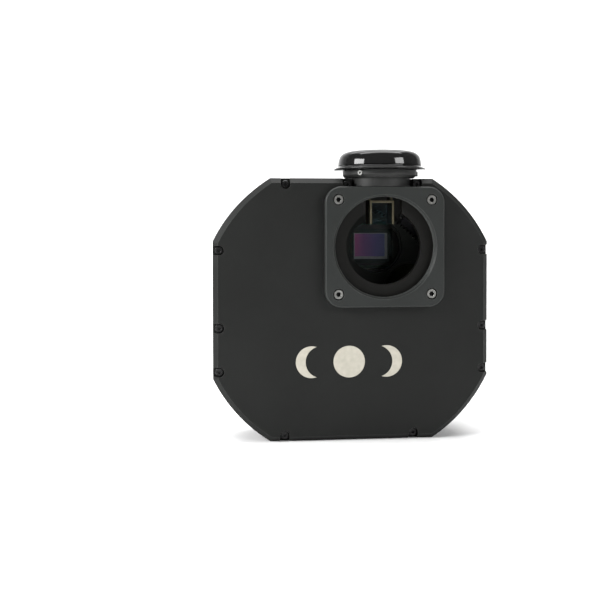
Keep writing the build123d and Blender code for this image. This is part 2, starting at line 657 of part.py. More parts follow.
sensor_chamber.part.label = "sensor_chamber"
export_step(sensor_chamber.part, "parts/sensor_chamber.step")

with BuildPart() as chamber_screws:
    screws(chamber_screw_spots, housing_floor, chamber_head_r, chamber_head_h, chamber_screw_r, chamber_screw_l)
chamber_screws.part.label = "chamber_screws"
export_step(chamber_screws.part, "parts/chamber_screws.step")

with BuildPart() as window_seal:
    ring(axis_spot, window_r, seal_inner_r, window_back, housing_back + window_pocket_depth)
window_seal.part.label = "window_seal"
export_step(window_seal.part, "parts/window_seal.step")

with BuildPart() as chamber_window:
    disc(axis_spot, window_r, window_front, window_back)
chamber_window.part.label = "chamber_window"
export_step(chamber_window.part, "parts/chamber_window.step")

with BuildPart() as window_retainer:
    ring(axis_spot, window_pocket_r, seal_inner_r, housing_back, window_front)
window_retainer.part.label = "window_retainer"
export_step(window_retainer.part, "parts/window_retainer.step")

with BuildPart() as chamber_seal:
    ring(axis_spot, ring_seal_r, ring_seal_inner_r, sink_front - ring_seal_t, sink_front)
chamber_seal.part.label = "chamber_seal"
export_step(chamber_seal.part, "parts/chamber_seal.step")

with BuildPart() as desiccant_plug:
    with BuildSketch(Plane.XY.offset(plug_bottom)):
        with Locations((0, plug_depth)):
            Circle(plug_stem_r)
    extrude(amount=rear_top - plug_bottom)
    with BuildSketch(Plane.XY.offset(rear_top)):
        with Locations((0, plug_depth)):
            Circle(plug_head_r)
    extrude(amount=plug_head_h)
    chamfer(edges().group_by(Axis.Z)[-1], plug_chamfer)
    with BuildSketch(Plane.XY.offset(rear_top + plug_head_h)):
        with Locations((0, plug_depth)):
            Rectangle(plug_slot_l, plug_slot_w)
    extrude(amount=-plug_slot_depth, mode=Mode.SUBTRACT)
desiccant_plug.part.label = "desiccant_plug"
export_step(desiccant_plug.part, "parts/desiccant_plug.step")

# Sensor and cooling stack
package_w, package_h, package_front, package_back = 34.0, 24.0, 46.4, 49.4
die_w, die_h, die_shift_x, die_shift_z, die_t = 20.0, 15.4, 0.6, -0.6, 0.6
die_margin, glass_margin, glass_t = 1.0, 2.5, 0.8
cold_w, cold_h, cold_back = 26.0, 14.0, 52.4
pin_rows, pins_in_row, pin_pitch, pin_side, pin_l = 19.0, 16, 1.9, 0.5, 2.6
sensor_board_front, sensor_board_back = 50.2, 51.4

with BuildPart() as sensor_package:
    block(0, 0, package_w, package_h, package_front, package_back)
    block(die_shift_x, die_shift_z, die_w + 2 * die_margin, die_h + 2 * die_margin, package_front,
          sensor_depth + die_t, Mode.SUBTRACT)
    with BuildSketch(at_depth(package_back)):
        with GridLocations(pin_pitch, pin_rows, pins_in_row, 2):
            Rectangle(pin_side, pin_side)
    extrude(amount=-pin_l)
sensor_package.part.label = "sensor_package"
export_step(sensor_package.part, "parts/sensor_package.step")

with BuildPart() as sensor_die:
    block(die_shift_x, die_shift_z, die_w, die_h, sensor_depth, sensor_depth + die_t)
sensor_die.part.label = "sensor_die"
export_step(sensor_die.part, "parts/sensor_die.step")

with BuildPart() as sensor_cover_glass:
    block(die_shift_x, die_shift_z, die_w + 2 * glass_margin, die_h + 2 * glass_margin, package_front - glass_t,
          package_front)
sensor_cover_glass.part.label = "sensor_cover_glass"
export_step(sensor_cover_glass.part, "parts/sensor_cover_glass.step")

with BuildPart() as sensor_board:
    block(0, 0, package_w + 4, package_h + 4, sensor_board_front, sensor_board_back)
    block(0, 0, cold_w + 1, cold_h + 1, sensor_board_front, sensor_board_back, Mode.SUBTRACT)
    with BuildSketch(at_depth(sensor_board_back)):
        with GridLocations(pin_pitch, pin_rows, pins_in_row, 2):
            Rectangle(pin_side, pin_side)
    extrude(amount=sensor_board_back - sensor_board_front, mode=Mode.SUBTRACT)
sensor_board.part.label = "sensor_board"
export_step(sensor_board.part, "parts/sensor_board.step")

with BuildPart() as cold_block:
    block(0, 0, cold_w, cold_h, package_back, cold_back)
cold_block.part.label = "cold_block"
export_step(cold_block.part, "parts/cold_block.step")

peltier_side, peltier_plate_t = 30.0, 0.6
element_side, element_pitch, element_rows = 2.4, 4.0, 7

with BuildPart() as peltier_module:
    block(0, 0, peltier_side, peltier_side, cold_back, cold_back + peltier_plate_t)
    block(0, 0, peltier_side, peltier_side, sink_front - peltier_plate_t, sink_front)
    with BuildSketch(at_depth(sink_front - peltier_plate_t)):
        with GridLocations(element_pitch, element_pitch, element_rows, element_rows):
            Rectangle(element_side, element_side)
    extrude(amount=sink_front - cold_back - 2 * peltier_plate_t)
peltier_module.part.label = "peltier_module"
export_step(peltier_module.part, "parts/peltier_module.step")

fin_pitch, fin_t, fin_count = 4.0, 1.2, 19
fin_l, fin_h, fin_z = 42.0, 9.5, 6.0
sink_w, sink_h, sink_z = 80.0, 88.0, -16.0
sink_clearance = 2.0
sink_r = rear_arc_r - rear_wall - sink_clearance
sink_corner_r = case_arc_r - rear_inset - rear_wall - sink_clearance
sink_head_r, sink_head_h, sink_seat_depth, sink_shank_l = 1.8, 1.6, 2.0, 6.5

with BuildPart() as heat_sink:
    with BuildSketch(at_depth(sink_back)):
        with Locations((rear_x, sink_z)):
            Rectangle(sink_w, sink_h)
        with Locations((rear_x, rear_z)):
            Circle(sink_r, mode=Mode.INTERSECT)
        with Locations((case_x, case_z)):
            Circle(sink_corner_r, mode=Mode.INTERSECT)
    extrude(amount=sink_back - sink_front)
    with BuildSketch(at_depth(sink_back)):
        with Locations((rear_x, fin_z)):
            with GridLocations(fin_pitch, 1, fin_count, 1):
                Rectangle(fin_t, fin_l)
        with Locations((rear_x, rear_z)):
            Circle(sink_r, mode=Mode.INTERSECT)
        with Locations((case_x, case_z)):
            Circle(sink_corner_r, mode=Mode.INTERSECT)
    extrude(amount=-fin_h)
    disc(heat_sink_screw_spots, sink_screw_r, sink_front, sink_back, Mode.SUBTRACT)
    disc(heat_sink_screw_spots, sink_head_r + 0.2, sink_back - sink_seat_depth, sink_back + fin_h + 0.1,
         Mode.SUBTRACT)
heat_sink.part.label = "heat_sink"
export_step(heat_sink.part, "parts/heat_sink.step")

with BuildPart() as heat_sink_screws:
    screws(heat_sink_screw_spots, sink_back - sink_seat_depth, sink_head_r, sink_head_h, sink_screw_r,
           sink_shank_l, facing=-1)
heat_sink_screws.part.label = "heat_sink_screws"
export_step(heat_sink_screws.part, "parts/heat_sink_screws.step")

# Circuit board and sockets
board_front, board_back = 43.0, 44.4
socket_back, socket_top = 54.2, -60.0
socket_h = socket_top - rear_bottom
socket_z = (socket_top + rear_bottom) / 2
power_x, power_w, power_hole_r, power_pin_r, power_hole_l = -22.1, 11.0, 3.2, 1.0, 9.5
usb_x, usb_w, usb_hole_w, usb_hole_d, usb_hole_l = -8.6, 12.0, 8.4, 7.8, 9.0
usb_tongue_w, usb_tongue_d = 5.6, 3.0
line_xs, line_w, line_hole_w, line_hole_d, line_hole_l = (6.1, 21.5), 13.4, 9.8, 6.8, 11.0
latch_w, latch_d, latch_y = 4.0, 1.4, 53.0
hole_y, line_hole_y = 49.3, 49.1
light_spots, light_r, light_l = [(-22.1, 58.4)], 1.5, 5.0
board_w, board_h, board_z, chip_t = 60.0, 31.0, -54.0, 1.6
chips = ((-12, -48, 12, 12), (2, -44, 8, 6), (13, -50, 9, 9), (2, -54, 6, 5))
stud_r, stud_thread_r, nut_r, nut_h = 2.4, 1.2, 2.0, 1.4

with BuildPart() as main_board:
    block(rear_x, board_z, board_w, board_h, board_front, board_back)
    disc(spacer_spots, stud_thread_r, board_front, board_back, Mode.SUBTRACT)
    for chip_x, chip_z, chip_w, chip_h in chips:
        block(chip_x, chip_z, chip_w, chip_h, board_back, board_back + chip_t)
main_board.part.label = "main_board"
export_step(main_board.part, "parts/main_board.step")

with BuildPart() as board_spacers:
    disc(spacer_spots, stud_r, housing_back, board_front)
    disc(spacer_spots, stud_thread_r, board_front, board_back)
    disc(spacer_spots, nut_r, board_back, board_back + nut_h)
board_spacers.part.label = "board_spacers"
export_step(board_spacers.part, "parts/board_spacers.step")

with BuildPart() as power_socket:
    block(power_x, socket_z, power_w, socket_h, board_back, socket_back)
    with BuildSketch(Plane.XY.offset(rear_bottom)):
        with Locations((power_x, hole_y)):
            Circle(power_hole_r)
            Circle(power_pin_r, mode=Mode.SUBTRACT)
    extrude(amount=power_hole_l, mode=Mode.SUBTRACT)
power_socket.part.label = "power_socket"
export_step(power_socket.part, "parts/power_socket.step")

with BuildPart() as usb_socket:
    block(usb_x, socket_z, usb_w, socket_h, board_back, socket_back)
    with BuildSketch(Plane.XY.offset(rear_bottom)):
        with Locations((usb_x, hole_y)):
            Rectangle(usb_hole_w, usb_hole_d)
            Rectangle(usb_tongue_w, usb_tongue_d, mode=Mode.SUBTRACT)
    extrude(amount=usb_hole_l, mode=Mode.SUBTRACT)
usb_socket.part.label = "usb_socket"
export_step(usb_socket.part, "parts/usb_socket.step")

with BuildPart() as line_sockets:
    for line_x in line_xs:
        block(line_x, socket_z, line_w, socket_h, board_back, socket_back)
    with BuildSketch(Plane.XY.offset(rear_bottom)):
        with Locations(*[(line_x, line_hole_y) for line_x in line_xs]):
            Rectangle(line_hole_w, line_hole_d)
        with Locations(*[(line_x, latch_y) for line_x in line_xs]):
            Rectangle(latch_w, latch_d)
    extrude(amount=line_hole_l, mode=Mode.SUBTRACT)
line_sockets.part.label = "line_sockets"
export_step(line_sockets.part, "parts/line_sockets.step")

with BuildPart() as status_light:
    with BuildSketch(Plane.XY.offset(rear_bottom)):
        with Locations(*light_spots):
            Circle(light_r)
    extrude(amount=light_l)
status_light.part.label = "status_light"
export_step(status_light.part, "parts/status_light.step")

# Rear body
air_slot_l, air_slot_w, air_slot_pitch, air_slot_count, air_slot_y = 9.0, 2.2, 5.0, 5, 62.5
body_screw_l, body_head_r, body_head_h = 12.0, 2.3, 1.5
socket_bays = ((power_x, power_w), (usb_x, usb_w), (line_xs[0], line_w), (line_xs[1], line_w))

with BuildPart() as rear_body:
    with BuildSketch(at_depth(body_back)):
        rear_profile()
    extrude(amount=body_back - housing_back)
    with BuildSketch(at_depth(body_back)):
        rear_profile(rear_wall)
    extrude(amount=body_back - housing_back, mode=Mode.SUBTRACT)
    with BuildSketch(at_depth(body_back)):
        with Locations(*boss_spots):
            Circle(boss_r)
        with Locations((rear_x, rear_z)):
            Circle(rear_arc_r - rear_inset, mode=Mode.INTERSECT)
    extrude(amount=body_back - housing_back)
    disc(boss_spots, tap_hole_r, housing_back, housing_floor + body_screw_l + 1, Mode.SUBTRACT)
    disc(boss_spots, tap_hole_r, 60.0, body_back, Mode.SUBTRACT)
    # cut-outs for the sockets, the light and the desiccant plug
    with BuildSketch(Plane.XY.offset(rear_bottom)):
        for socket_x, socket_w in socket_bays:
            with Locations((socket_x, (board_back + socket_back) / 2)):
                Rectangle(socket_w, socket_back - board_back)
        with Locations(*light_spots):
            Circle(light_r)
    extrude(amount=rear_wall + 0.5, mode=Mode.SUBTRACT)
    with BuildSketch(Plane.XY.offset(rear_top)):
        with Locations((0, plug_depth)):
            Circle(plug_stem_r)
    extrude(amount=-rear_wall - 0.5, mode=Mode.SUBTRACT)
    # air slots in both side walls
    with BuildSketch(Plane.YZ.offset(rear_x - rear_half - 1)):
        with Locations((air_slot_y, rear_z)):
            with GridLocations(1, air_slot_pitch, 1, air_slot_count):
                SlotOverall(air_slot_l, air_slot_w)
    extrude(amount=2 * rear_half + 2, mode=Mode.SUBTRACT)
rear_body.part.label = "rear_body"
export_step(rear_body.part, "parts/rear_body.step")

with BuildPart() as body_screws:
    screws(boss_spots, housing_floor, body_head_r, body_head_h, tap_hole_r, body_screw_l)
body_screws.part.label = "body_screws"
export_step(body_screws.part, "parts/body_screws.step")

# Fans and rear cover
grille_rings = ((4.5, 7.0), (9.0, 11.5), (13.5, 16.0))
fan_corners = [(x + sx * fan_hole_pitch / 2, z + sz * fan_hole_pitch / 2)
               for x, z in fan_spots for sx in (-1, 1) for sz in (-1, 1)]
fan_shaft_r, fan_hub_r, fan_hub_chamfer = 1.0, 8.5, 0.8
fan_bore_r, fan_corner_r, fan_hole_r = 18.8, 2.5, 1.7
spider_t, spider_w, spider_l, spider_pitch_r = 1.4, 2.0, 12.0, 14.0
bearing_r, bearing_h = 2.4, 1.0
blade_count, blade_pitch_r, blade_deg = 7, 12.6, 38
vane_l, vane_w, vane_t, vane_depth = 10.2, 7.6, 0.9, 6.0

with BuildPart() as fan_frames:
    with BuildSketch(at_depth(fan_back)):
        with Locations(*fan_spots):
            RectangleRounded(fan_side, fan_side, fan_corner_r)
            Circle(fan_bore_r, mode=Mode.SUBTRACT)
    extrude(amount=fan_back - fan_front)
    with BuildSketch(at_depth(fan_front + spider_t)):
        with Locations(*fan_spots):
            with PolarLocations(spider_pitch_r, 4, start_angle=45):
                Rectangle(spider_l, spider_w)
            Circle(fan_hub_r)
    extrude(amount=spider_t)
    disc(fan_spots, bearing_r, fan_front + spider_t, fan_front + spider_t + bearing_h)
    disc(fan_spots, fan_shaft_r + running_gap, fan_front + 0.4, fan_front + spider_t + bearing_h, Mode.SUBTRACT)
    disc(fan_corners, fan_hole_r, fan_front, fan_back, Mode.SUBTRACT)
fan_frames.part.label = "fan_frames"
export_step(fan_frames.part, "parts/fan_frames.step")

for fan_name, (fan_x, fan_z) in zip(("fan_rotor_left", "fan_rotor_right"), fan_spots):
    with BuildPart() as fan_rotor:
        disc([(fan_x, fan_z)], fan_hub_r, fan_front + 2.8, fan_back - 0.9)
        chamfer(edges().group_by(Axis.Y)[-1], fan_hub_chamfer)
        disc([(fan_x, fan_z)], fan_shaft_r, fan_front + 0.6, fan_front + 2.8)
        with Locations(Plane(origin=(fan_x, fan_front + vane_depth, fan_z), x_dir=(1, 0, 0), z_dir=(0, -1, 0))):
            with PolarLocations(blade_pitch_r, blade_count):
                Box(vane_l, vane_w, vane_t, rotation=(blade_deg, 0, 0))
    fan_rotor.part.label = fan_name
    export_step(fan_rotor.part, f"parts/{fan_name}.step")

rear_screw_l, rear_seat_r, rear_head_h, rear_seat_depth = 8.0, 2.4, 1.5, 1.7
rear_chamfer = 0.9
grille_bar_l, grille_bar_w, grille_bar_pitch_r = 20.0, 2.2, 9.0

with BuildPart() as rear_cover:
    with BuildSketch(at_depth(camera_back)):
        rear_profile()
    extrude(amount=camera_back - body_back)
    chamfer(edges().group_by(Axis.Y)[-1], rear_chamfer)
    with BuildSketch(at_depth(camera_back)):
        with Locations(*fan_spots):
            for inner_r, outer_r in reversed(grille_rings):
                Circle(outer_r)
                Circle(inner_r, mode=Mode.SUBTRACT)
            with PolarLocations(grille_bar_pitch_r, 4, start_angle=45):
                Rectangle(grille_bar_l, grille_bar_w, mode=Mode.SUBTRACT)
    extrude(amount=camera_back - body_back, mode=Mode.SUBTRACT)
    disc(boss_spots + fan_corners, tap_hole_r, body_back, camera_back, Mode.SUBTRACT)
    disc(boss_spots + fan_corners, rear_seat_r, camera_back - rear_seat_depth, camera_back, Mode.SUBTRACT)
rear_cover.part.label = "rear_cover"
export_step(rear_cover.part, "parts/rear_cover.step")

with BuildPart() as rear_screws:
    screws(boss_spots + fan_corners, camera_back - rear_seat_depth, rear_seat_r - 0.1, rear_head_h,
           tap_hole_r, rear_screw_l, facing=-1)
rear_screws.part.label = "rear_screws"
export_step(rear_screws.part, "parts/rear_screws.step")
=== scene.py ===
import bpy
import json
import math
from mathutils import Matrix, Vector


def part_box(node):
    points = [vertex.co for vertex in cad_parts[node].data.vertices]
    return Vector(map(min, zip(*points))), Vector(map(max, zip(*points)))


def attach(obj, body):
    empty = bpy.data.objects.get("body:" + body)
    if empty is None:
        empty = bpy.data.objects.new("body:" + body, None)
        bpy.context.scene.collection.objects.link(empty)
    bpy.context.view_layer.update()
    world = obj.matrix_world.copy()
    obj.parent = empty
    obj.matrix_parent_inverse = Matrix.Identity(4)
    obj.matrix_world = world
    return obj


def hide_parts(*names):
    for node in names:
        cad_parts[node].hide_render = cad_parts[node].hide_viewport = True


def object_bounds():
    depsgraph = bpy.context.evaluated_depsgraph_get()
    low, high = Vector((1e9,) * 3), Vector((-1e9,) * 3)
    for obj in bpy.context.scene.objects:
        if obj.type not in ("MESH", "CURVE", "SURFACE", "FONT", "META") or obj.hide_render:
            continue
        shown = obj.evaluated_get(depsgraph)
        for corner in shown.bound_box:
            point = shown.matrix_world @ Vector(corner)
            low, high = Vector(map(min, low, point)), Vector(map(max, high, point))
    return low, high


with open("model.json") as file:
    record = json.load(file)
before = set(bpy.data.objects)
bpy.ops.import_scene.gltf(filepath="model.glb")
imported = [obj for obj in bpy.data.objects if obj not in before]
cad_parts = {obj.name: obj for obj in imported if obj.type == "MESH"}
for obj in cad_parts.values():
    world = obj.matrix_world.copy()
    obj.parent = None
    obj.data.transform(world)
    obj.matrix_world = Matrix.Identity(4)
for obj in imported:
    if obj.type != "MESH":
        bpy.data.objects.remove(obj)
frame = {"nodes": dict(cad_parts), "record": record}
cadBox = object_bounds()
mm = 0.001
print("frame loaded:", len(frame["nodes"]), "nodes")


def clearSelection():
    if bpy.context.object and bpy.context.object.mode == "EDIT":
        bpy.ops.object.mode_set(mode="OBJECT")
    bpy.ops.object.select_all(action="DESELECT")


def pickOnly(piece):
    clearSelection()
    piece.select_set(True)
    bpy.context.view_layer.objects.active = piece


def settle(piece):  # place and turn go into the mesh, so that the object sits at the origin
    pickOnly(piece)
    bpy.ops.object.transform_apply(location=True, rotation=True, scale=True)
    return piece


def joinPieces(pieces, name):
    clearSelection()
    for piece in pieces:
        piece.select_set(True)
    bpy.context.view_layer.objects.active = pieces[0]
    bpy.ops.object.join()
    joined = bpy.context.object
    joined.name = name
    return settle(joined)


def applyModifiers(piece):
    pickOnly(piece)
    for modifier in list(piece.modifiers):
        bpy.ops.object.modifier_apply(modifier=modifier.name)


def turnedPiece(name, centre, rings, segments):
    # a closed turned shape about +Z: rings are (radius, height) in mm, walked from end to end
    clearSelection()
    firstRadius, firstHeight = rings[0]
    bpy.ops.mesh.primitive_circle_add(vertices=segments, radius=firstRadius * mm, fill_type="NGON",
                                      location=(centre[0], centre[1], firstHeight * mm))
    piece = bpy.context.object
    piece.name = name
    bpy.ops.object.mode_set(mode="EDIT")
    bpy.ops.mesh.select_all(action="SELECT")
    for (oldRadius, oldHeight), (radius, height) in zip(rings, rings[1:]):
        bpy.ops.mesh.extrude_region_move(TRANSFORM_OT_translate={"value": (0, 0, (height - oldHeight) * mm)})
        grow = radius / oldRadius
        bpy.ops.transform.resize(value=(grow, grow, 1))
    bpy.ops.mesh.select_all(action="SELECT")
    bpy.ops.mesh.normals_make_consistent(inside=False)
    bpy.ops.object.mode_set(mode="OBJECT")
    return settle(piece)


# thread in the nose bore: ring ridges behind its lead-in
threadLook = {"turns": 4, "pitch": 0.85, "depth": 0.28, "start": 1.5, "boreRadius": 27.4, "sink": 0.02,
              "segments": 128, "sideSegments": 8}


def startMaterial(name):
    material = bpy.data.materials.new(name)
    material.use_nodes = True
    nodes = material.node_tree.nodes
    return material, nodes, material.node_tree.links, nodes["Principled BSDF"]


def addNoise(nodes, links, coords, scale, detail, stretch=None):
    noise = nodes.new("ShaderNodeTexNoise")
    noise.inputs["Scale"].default_value = scale
    noise.inputs["Detail"].default_value = detail
    source = coords.outputs["Object"]
    if stretch:
        mapping = nodes.new("ShaderNodeMapping")
        mapping.inputs["Scale"].default_value = stretch
        links.new(source, mapping.inputs["Vector"])
        source = mapping.outputs["Vector"]
    links.new(source, noise.inputs["Vector"])
    return noise


def addRamp(nodes, links, source, stops):
    ramp = nodes.new("ShaderNodeValToRGB")
    elements = ramp.color_ramp.elements
    while len(elements) < len(stops):
        elements.new(0.5)
    for element, (place, colour) in zip(elements, stops):
        element.position = place
        element.color = (*colour, 1)
    links.new(source, ramp.inputs["Fac"])
    return ramp


def addRange(nodes, links, source, low, high, toLow, toHigh):
    span = nodes.new("ShaderNodeMapRange")
    span.inputs["From Min"].default_value = low
    span.inputs["From Max"].default_value = high
    span.inputs["To Min"].default_value = toLow
    span.inputs["To Max"].default_value = toHigh
    links.new(source, span.inputs["Value"])
    return span


def addMix(nodes, links, amount, colour, other):
    mix = nodes.new("ShaderNodeMix")
    mix.data_type = "RGBA"
    links.new(amount, mix.inputs["Factor"])
    links.new(colour, mix.inputs["A"])
    mix.inputs["B"].default_value = (*other, 1)
    return mix.outputs["Result"]


boreEdge = 0.3  # mm over which the bore's black paint and painted shade end


def blackenBore(nodes, links, coords, colour, boreBlackAndShade):
    # flat black paint and painted shade on the step inside the nose plate's bore
    axes = nodes.new("ShaderNodeVectorMath")
    axes.operation = "MULTIPLY"
    axes.inputs[1].default_value = (1, 0, 1)
    links.new(coords.outputs["Object"], axes.inputs[0])
    reach = nodes.new("ShaderNodeVectorMath")
    reach.operation = "LENGTH"
    links.new(axes.outputs["Vector"], reach.inputs[0])
    inside = addRange(nodes, links, reach.outputs["Value"], threadLook["boreRadius"] * mm,
                      (threadLook["boreRadius"] + boreEdge) * mm, 1, 0)
    return addMix(nodes, links, inside.outputs["Result"], colour, boreBlackAndShade)


def darkenBelow(nodes, links, coords, colour, look):
    # painted shade in what lies deeper than the screw heads' faces, darkening their sockets
    axes = nodes.new("ShaderNodeSeparateXYZ")
    links.new(coords.outputs["Object"], axes.inputs["Vector"])
    start, end = look["shadeDepths"]
    depth = addRange(nodes, links, axes.outputs["Y"], start * mm, end * mm, 0, 1)
    return addMix(nodes, links, depth.outputs["Result"], colour, look["shade"])


# what every finish shares unless its own entry says otherwise; noiseLow to noiseHigh is a noise's usual span
plainLook = {"patchScale": 60, "edge": 0.25, "grainScale": 3500, "grain": 0.15, "grainDepth": 0.02,
             "metallic": 0, "coat": 0, "coatRoughness": 0.05, "specular": 0.5}
noiseLow, noiseHigh = 0.3, 0.7
patchDetail, grainDetail = 4, 3
wornAndLitLook = {"facing": (0.985, 0.86), "samples": 4}  # how far an edge turns before it takes the lighter colour of wear and painted highlight


def surfaceFinish(name, look):
    # one solid finish: mottled colour, lighter edges of wear and painted highlight, a fine grain and uneven
    # gloss
    look = {**plainLook, **look}
    material, nodes, links, shader = startMaterial(name)
    coords = nodes.new("ShaderNodeTexCoord")
    patches = addNoise(nodes, links, coords, look["patchScale"], patchDetail)
    dark, light = look["colours"]
    ramp = addRamp(nodes, links, patches.outputs["Fac"], [(noiseLow, dark), (noiseHigh, light)])
    colour = ramp.outputs["Color"]
    rounded = nodes.new("ShaderNodeBevel")
    rounded.samples = wornAndLitLook["samples"]
    rounded.inputs["Radius"].default_value = look["edge"] * mm
    if "wornAndLitEdge" in look:
        geometry = nodes.new("ShaderNodeNewGeometry")
        facing = nodes.new("ShaderNodeVectorMath")
        facing.operation = "DOT_PRODUCT"
        links.new(rounded.outputs["Normal"], facing.inputs[0])
        links.new(geometry.outputs["Normal"], facing.inputs[1])
        wornAndLitMask = addRange(nodes, links, facing.outputs["Value"], *wornAndLitLook["facing"], 0, 1)
        colour = addMix(nodes, links, wornAndLitMask.outputs["Result"], colour, look["wornAndLitEdge"])
    if "boreBlackAndShade" in look:
        colour = blackenBore(nodes, links, coords, colour, look["boreBlackAndShade"])
    if "shade" in look:
        colour = darkenBelow(nodes, links, coords, colour, look)
    links.new(colour, shader.inputs["Base Color"])
    grain = addNoise(nodes, links, coords, look["grainScale"], grainDetail, look.get("grainStretch"))
    bump = nodes.new("ShaderNodeBump")
    bump.inputs["Strength"].default_value = look["grain"]
    bump.inputs["Distance"].default_value = look["grainDepth"] * mm
    links.new(grain.outputs["Fac"], bump.inputs["Height"])
    links.new(rounded.outputs["Normal"], bump.inputs["Normal"])
    links.new(bump.outputs["Normal"], shader.inputs["Normal"])
    smooth, rough = look["roughness"]
    gloss = addRange(nodes, links, grain.outputs["Fac"], noiseLow, noiseHigh, smooth, rough)
    links.new(gloss.outputs["Result"], shader.inputs["Roughness"])
    shader.inputs["Metallic"].default_value = look["metallic"]
    shader.inputs["Coat Weight"].default_value = look["coat"]
    shader.inputs["Coat Roughness"].default_value = look["coatRoughness"]
    shader.inputs["Specular IOR Level"].default_value = look["specular"]
    return material


glassLook = {"sheenScale": 40, "sheenDetail": 1, "sheenSpan": (0.35, 0.65), "smearScale": 300,
             "smearDetail": 2, "roughness": (0.02, 0.05), "ior": 1.52, "coat": 0.6}


def glassFinish(name, look):
    # coated glass: light goes through it, and its faces glint in the coating's colour
    material, nodes, links, shader = startMaterial(name)
    coords = nodes.new("ShaderNodeTexCoord")
    sheen = addNoise(nodes, links, coords, glassLook["sheenScale"], glassLook["sheenDetail"])
    low, high = look["colours"]
    start, end = glassLook["sheenSpan"]
    tint = addRamp(nodes, links, sheen.outputs["Fac"], [(start, low), (end, high)])
    links.new(tint.outputs["Color"], shader.inputs["Base Color"])
    smear = addNoise(nodes, links, coords, glassLook["smearScale"], glassLook["smearDetail"])
    gloss = addRange(nodes, links, smear.outputs["Fac"], noiseLow, noiseHigh, *glassLook["roughness"])
    links.new(gloss.outputs["Result"], shader.inputs["Roughness"])
    shader.inputs["Alpha"].default_value = look["alpha"]
    shader.inputs["IOR"].default_value = glassLook["ior"]
    shader.inputs["Coat Weight"].default_value = glassLook["coat"]
    shader.inputs["Coat Tint"].default_value = (*look["coating"], 1)
    return material


def sensorFinish(look):
    # imaging area in a painted blue to magenta sheen, inside a bare silicon border
    material, nodes, links, shader = startMaterial("sensorSilicon")
    coords = nodes.new("ShaderNodeTexCoord")
    axes = nodes.new("ShaderNodeSeparateXYZ")
    links.new(coords.outputs["Object"], axes.inputs["Vector"])
    halfWidth, halfHeight = look["imagingWidth"] * mm / 2, look["imagingHeight"] * mm / 2
    sheen = addRange(nodes, links, axes.outputs["X"], -halfWidth, halfWidth, 0, 1)
    colour = addRamp(nodes, links, sheen.outputs["Result"], look["sheen"])
    inside = None
    for axis, half in (("X", halfWidth), ("Z", halfHeight)):
        size = nodes.new("ShaderNodeMath")
        size.operation = "ABSOLUTE"
        links.new(axes.outputs[axis], size.inputs[0])
        within = nodes.new("ShaderNodeMath")
        within.operation = "LESS_THAN"
        within.inputs[1].default_value = half
        links.new(size.outputs["Value"], within.inputs[0])
        if inside:
            both = nodes.new("ShaderNodeMath")
            both.operation = "MULTIPLY"
            links.new(inside.outputs["Value"], both.inputs[0])
            links.new(within.outputs["Value"], both.inputs[1])
            inside = both
        else:
            inside = within
    mix = nodes.new("ShaderNodeMix")
    mix.data_type = "RGBA"
    links.new(inside.outputs["Value"], mix.inputs["Factor"])
    mix.inputs["A"].default_value = (*look["border"], 1)
    links.new(colour.outputs["Color"], mix.inputs["B"])
    links.new(mix.outputs["Result"], shader.inputs["Base Color"])
    pixels = nodes.new("ShaderNodeTexBrick")
    pixels.offset = 0
    pixels.inputs["Scale"].default_value = look["pixelScale"]
    pixels.inputs["Brick Width"].default_value = look["cell"]
    pixels.inputs["Row Height"].default_value = look["cell"]
    pixels.inputs["Mortar Size"].default_value = look["cellGap"]
    turned = nodes.new("ShaderNodeMapping")
    turned.inputs["Rotation"].default_value = (math.radians(90), 0, 0)
    links.new(coords.outputs["Object"], turned.inputs["Vector"])
    links.new(turned.outputs["Vector"], pixels.inputs["Vector"])
    bump = nodes.new("ShaderNodeBump")
    bump.inputs["Strength"].default_value = look["grain"]
    bump.inputs["Distance"].default_value = look["grainDepth"] * mm
    links.new(pixels.outputs["Fac"], bump.inputs["Height"])
    links.new(bump.outputs["Normal"], shader.inputs["Normal"])
    shader.inputs["Metallic"].default_value = look["metallic"]
    shader.inputs["Roughness"].default_value = look["roughness"]
    return material


def boardFinish(look):
    # green solder mask with paler copper tracks under it
    material, nodes, links, shader = startMaterial("circuitBoard")
    coords = nodes.new("ShaderNodeTexCoord")
    cells = nodes.new("ShaderNodeTexVoronoi")
    cells.feature = "DISTANCE_TO_EDGE"
    cells.distance = "EUCLIDEAN"
    cells.inputs["Scale"].default_value = look["trackScale"]
    links.new(coords.outputs["Object"], cells.inputs["Vector"])
    stops = [(look["trackEdge"], look["track"]), (look["maskEdge"], look["mask"])]
    colour = addRamp(nodes, links, cells.outputs["Distance"], stops)
    links.new(colour.outputs["Color"], shader.inputs["Base Color"])
    bump = nodes.new("ShaderNodeBump")
    bump.inputs["Strength"].default_value = look["grain"]
    bump.inputs["Distance"].default_value = look["grainDepth"] * mm
    links.new(cells.outputs["Distance"], bump.inputs["Height"])
    links.new(bump.outputs["Normal"], shader.inputs["Normal"])
    shader.inputs["Roughness"].default_value = look["roughness"]
    return material


